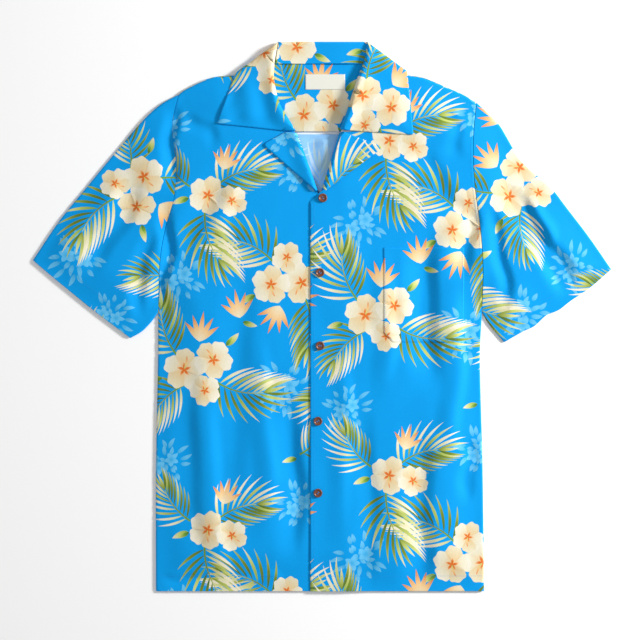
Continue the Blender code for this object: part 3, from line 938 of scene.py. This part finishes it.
POCKET = {"left": 88, "right": 203, "top": 99, "bottom": -37, "mitre": 13}
mitre = POCKET["mitre"]
pocket_corners = (
    (POCKET["left"] + mitre, POCKET["bottom"]), (POCKET["right"] - mitre, POCKET["bottom"]),
    (POCKET["right"], POCKET["bottom"] + mitre), (POCKET["right"] + 1, POCKET["top"]),
    (POCKET["left"], POCKET["top"]), (POCKET["left"], POCKET["bottom"] + mitre),
)
pocket_outline = np.vstack([
    straight(a, b, 3)[:-1] for a, b in zip(pocket_corners, pocket_corners[1:] + pocket_corners[:1])
])
pocket_ring = np.vstack([pocket_outline, pocket_outline[:1]])
POCKET_SEAT, MOUTH_LIFT, POCKET_DROP = 0.75, 0.4, 0.6


def pocket_height(p):
    z = left_front(p) + POCKET_SEAT + MOUTH_LIFT * smooth((p[:, 1] - 60) / 39)
    return fold_down(p, z, [pocket_ring], PRESSED_REACH, z - POCKET_DROP)


origin = PRINT_ORIGIN["left"]
layers = [(cut(pocket_outline, origin, spacing=4), pocket_height, True, origin)]
pocket = cloth_mesh("pocket_cloth", layers, cloth_faces)
laid(pocket, ["chest_pocket"], [pocket_outline])

# ---- topstitching
# Lockstitch in azure thread, run by a node tree along each seam. Each stitch is a short rounded
# bar that lies on the cloth.

HEM_DEPTH, PLACKET_STITCH_X, ARM_STITCH, POCKET_STITCH = 22, -11.5, 3.5, 2.0


def stitch_tree(finish):
    tree = bpy.data.node_groups.new("topstitch", "GeometryNodeTree")
    tree.interface.new_socket("Geometry", in_out="INPUT", socket_type="NodeSocketGeometry")
    for name in ("Pitch", "Length", "Radius"):
        tree.interface.new_socket(name, in_out="INPUT", socket_type="NodeSocketFloat")
    tree.interface.new_socket("Geometry", in_out="OUTPUT", socket_type="NodeSocketGeometry")
    given = tree.nodes.new("NodeGroupInput").outputs
    dots = tree.nodes.new("GeometryNodeCurveToPoints")
    dots.mode = "LENGTH"
    bar = tree.nodes.new("GeometryNodeMeshIcoSphere")
    bar.inputs["Subdivisions"].default_value = 1
    long = tree.nodes.new("ShaderNodeCombineXYZ")
    turn = tree.nodes.new("FunctionNodeAlignRotationToVector")
    turn.axis = "Z"
    put = tree.nodes.new("GeometryNodeInstanceOnPoints")
    real = tree.nodes.new("GeometryNodeRealizeInstances")
    paint = tree.nodes.new("GeometryNodeSetMaterial")
    paint.inputs["Material"].default_value = finish
    out = tree.nodes.new("NodeGroupOutput")
    join = tree.links.new
    join(given["Geometry"], dots.inputs["Curve"])
    join(given["Pitch"], dots.inputs["Length"])
    bar.inputs["Radius"].default_value = 1.0
    for slot, size in zip(long.inputs, ("Radius", "Radius", "Length")):
        join(given[size], slot)
    join(dots.outputs["Tangent"], turn.inputs["Vector"])
    join(dots.outputs["Points"], put.inputs["Points"])
    join(bar.outputs["Mesh"], put.inputs["Instance"])
    join(turn.outputs[0], put.inputs["Rotation"])
    join(long.outputs[0], put.inputs["Scale"])
    join(put.outputs[0], real.inputs[0])
    join(real.outputs[0], paint.inputs[0])
    join(paint.outputs[0], out.inputs[0])
    return tree


def stitched(name, runs, finish, pitch=2.9, length=1.1, radius=0.22):
    """Stitches along runs of (plan points, height function)."""
    curve = bpy.data.curves.new(name, "CURVE")
    curve.dimensions = "3D"
    for line, height in runs:
        spline = curve.splines.new("POLY")
        spline.points.add(len(line) - 1)
        z = height(line)
        for point, (x, y), h in zip(spline.points, line, z):
            point.co = (x * MM, y * MM, (h + 0.05) * MM, 1)
    path = link(bpy.data.objects.new(name + "_path", curve))
    modifier = path.modifiers.new("stitches", "NODES")
    modifier.node_group = stitch_tree(finish)
    sizes = {"Pitch": pitch * MM, "Length": length * MM, "Radius": radius * MM}
    for item in modifier.node_group.interface.items_tree:
        if item.in_out == "INPUT" and item.name in sizes:
            modifier[item.identifier] = sizes[item.name]
    result = bpy.data.meshes.new_from_object(path.evaluated_get(bpy.context.evaluated_depsgraph_get()))
    bpy.data.objects.remove(path)
    result.name = name
    made = link(bpy.data.objects.new(name, result))
    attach(made, "root")
    return made


thread_blue = plain_material("azure_thread", srgb(20, 150, 226), 0.6)


def moved(line, by):
    """Line moved aside, to the left of its direction."""
    tangent = np.gradient(line, axis=0)
    normal = np.c_[-tangent[:, 1], tangent[:, 0]] / np.linalg.norm(tangent, axis=1)[:, None]
    return line + normal * by


left_height, right_height = front_height("left"), front_height("right")
hem_stitch_y, mouth_stitch_y = HEM_Y + HEM_DEPTH, POCKET["top"] - HEM_DEPTH
runs = [
    (straight((PLACKET_STITCH_X, HEM_Y + 2), (PLACKET_STITCH_X, 160)), left_height),
    (straight((-15, hem_stitch_y), (229, hem_stitch_y)), left_height),
    (straight((-236, hem_stitch_y), (-19, hem_stitch_y)), right_height),
    (straight((POCKET["left"] + 2, mouth_stitch_y), (POCKET["right"] - 2, mouth_stitch_y)), pocket_height),
]
pocket_run = moved(np.roll(pocket_outline, -np.argmax(pocket_outline[:, 1]), 0), POCKET_STITCH)
runs.append((pocket_run[pocket_run[:, 1] < POCKET["top"] - 2], pocket_height))
for side in SIGN:
    runs.append((moved(hem_line[side], HEM_DEPTH * SIGN[side])[3:-3], sleeve_upper(side)))
    runs.append((moved(arm_line[side], ARM_STITCH * SIGN[side])[2:-2], front_height(side)))
stitched("topstitching", runs, thread_blue)

# ---- buttons
# Five coconut-shell buttons, turned with a rim and a dished face, drilled with four holes and sewn
# through with azure thread in two bars.

HOLE_OFFSET, HOLE_RADIUS = 1.35, 0.62
STRAND, STRAND_OFFSET, STRAND_TOP = 0.2, 0.22, 2.25
BUTTON_SEAT = 0.2
BUTTON_PROFILE = (
    (0.0, 0.0), (4.9, 0.0), (5.8, 0.35), (6.25, 1.0), (6.35, 1.7), (6.15, 2.35), (5.7, 2.72), (5.2, 2.8),
    (4.75, 2.68), (4.35, 2.3), (3.9, 2.02), (3.2, 1.9), (0.0, 1.85),
)


def coconut():
    made = bpy.data.materials.new("coconut_shell")
    made.use_nodes = True
    tree = made.node_tree
    shader = tree.nodes["Principled BSDF"]
    place = Socket(tree, node(tree, "ShaderNodeTexCoord").outputs["Object"])
    stretched = node(tree, "ShaderNodeMapping", _0=place)
    stretched.inputs["Scale"].default_value = (1, 4, 1)
    grain = noise(tree, first_output(stretched), Scale=520.0, Detail=4.0)
    ramp_node = node(tree, "ShaderNodeValToRGB", _0=grain)
    stops = ramp_node.color_ramp.elements
    stops[0].position, stops[0].color = 0.34, (*srgb(58, 26, 16), 1)
    stops[1].position, stops[1].color = 0.68, (*srgb(150, 84, 52), 1)
    tree.links.new(ramp_node.outputs[0], shader.inputs["Base Color"])
    shader.inputs["Roughness"].default_value = 0.34
    bump = node(tree, "ShaderNodeBump", Strength=0.3, Distance=0.0001, Height=grain)
    tree.links.new(bump.outputs[0], shader.inputs["Normal"])
    return made


def lathe(profile, sides=40):
    """Closed form turned about Z from a (radius, height) profile that starts and ends on the axis."""
    angles = np.arange(sides) * math.tau / sides
    verts, faces, rings = [], [], []
    for radius, z in profile:
        start = len(verts)
        ring = angles if radius else angles[:1]
        verts += [(radius * math.cos(a), radius * math.sin(a), z) for a in ring]
        rings.append(range(start, len(verts)))
    for a, b in zip(rings, rings[1:]):
        for k in range(sides):
            n = (k + 1) % sides
            faces.append(tuple(dict.fromkeys((a[k % len(a)], a[n % len(a)], b[n % len(b)], b[k % len(b)]))))
    return verts, faces


def mesh_object(name, verts, faces, finish):
    mesh = bpy.data.meshes.new(name)
    mesh.from_pydata([tuple(c * MM for c in v) for v in verts], [], faces)
    mesh.materials.append(finish)
    mesh.shade_smooth()
    return link(bpy.data.objects.new(name, mesh))


shell = coconut()
pattern = mesh_object("button_pattern", *lathe(BUTTON_PROFILE), shell)
drills = []
for dx in (-HOLE_OFFSET, HOLE_OFFSET):
    for dy in (-HOLE_OFFSET, HOLE_OFFSET):
        verts, faces = lathe(((0.0, -1.0), (HOLE_RADIUS, -1.0), (HOLE_RADIUS, 4.0), (0.0, 4.0)), 12)
        drill = mesh_object("drill", [(x + dx, y + dy, z) for x, y, z in verts], faces, shell)
        cutter = pattern.modifiers.new("hole", "BOOLEAN")
        cutter.object, cutter.operation = drill, "DIFFERENCE"
        drills.append(drill)
drilled = bpy.data.meshes.new_from_object(pattern.evaluated_get(bpy.context.evaluated_depsgraph_get()))
for spent in [pattern, *drills]:
    bpy.data.objects.remove(spent)
drilled.set_sharp_from_angle(angle=math.radians(40))


def thread_bars(centre, turn):
    """Four strands, two across each pair of holes, each a bent round bar."""
    verts, faces = [], []
    for dy in (-HOLE_OFFSET, HOLE_OFFSET):
        for beside in (-STRAND_OFFSET, STRAND_OFFSET):
            ring_at = []
            for t in np.linspace(-1, 1, 9):
                x, z = t * HOLE_OFFSET, STRAND_TOP - abs(t) ** 5
                ring = []
                for k in range(6):
                    a = math.tau * k / 6
                    y = dy + beside + STRAND * math.cos(a)
                    ring.append((centre[0] + x * math.cos(turn) - y * math.sin(turn),
                                 centre[1] + x * math.sin(turn) + y * math.cos(turn),
                                 centre[2] + z + STRAND * math.sin(a)))
                ring_at.append(range(len(verts), len(verts) + 6))
                verts += ring
            for a, b in zip(ring_at, ring_at[1:]):
                faces += [(a[k], a[(k + 1) % 6], b[(k + 1) % 6], b[k]) for k in range(6)]
            faces += [tuple(ring_at[0])[::-1], tuple(ring_at[-1])]
    return verts, faces


for number in range(1, 6):
    low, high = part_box(f"button_{number}")
    x, y = ((low[i] + high[i]) / 2 / MM for i in (0, 1))
    z = float(left_height(array([(x, y)]))[0]) + BUTTON_SEAT
    turn = 0.5 * number
    mesh = drilled.copy()
    mesh.transform(Matrix.Rotation(turn, 4, "Z"))
    mesh.transform(Matrix.Translation((x * MM, y * MM, z * MM)))
    button = link(bpy.data.objects.new(f"button_{number}_shell", mesh))
    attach(button, "root")
    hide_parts(f"button_{number}")
    sewn = mesh_object(f"button_{number}_thread", *thread_bars((x, y, z), turn), thread_blue)
    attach(sewn, "root")

# ---- neck label
# A plain woven tape patch on the yoke lining, left blank. Its pressed edges lie close on the
# lining all round.

LABEL_TOP, LABEL_EDGE, LABEL_REACH = 0.9, 0.5, 0.8
tape = plain_material("label_tape", srgb(226, 226, 214), 0.8)
low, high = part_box("neck_label")
x0, y0, x1, y1 = (v / MM for v in (*low[:2], *high[:2]))
label_corners = ((x0, y0), (x1, y0), (x1, y1), (x0, y1))
label_outline = np.vstack([
    straight(a, b, 2)[:-1] for a, b in zip(label_corners, label_corners[1:] + label_corners[:1])
])
label_ring = np.vstack([label_outline, label_outline[:1]])


def label_height(p):
    beneath = over_fall(p) + 2 * PLY
    return fold_down(p, beneath + LABEL_TOP, [label_ring], LABEL_REACH, beneath + LABEL_EDGE)


origin = array((0, 0))
layers = [(cut(label_outline, origin, spacing=3, printed=False), label_height, True, origin)]
label = cloth_mesh("label_tape_patch", layers, (tape,))
laid(label, ["neck_label"], [label_outline])
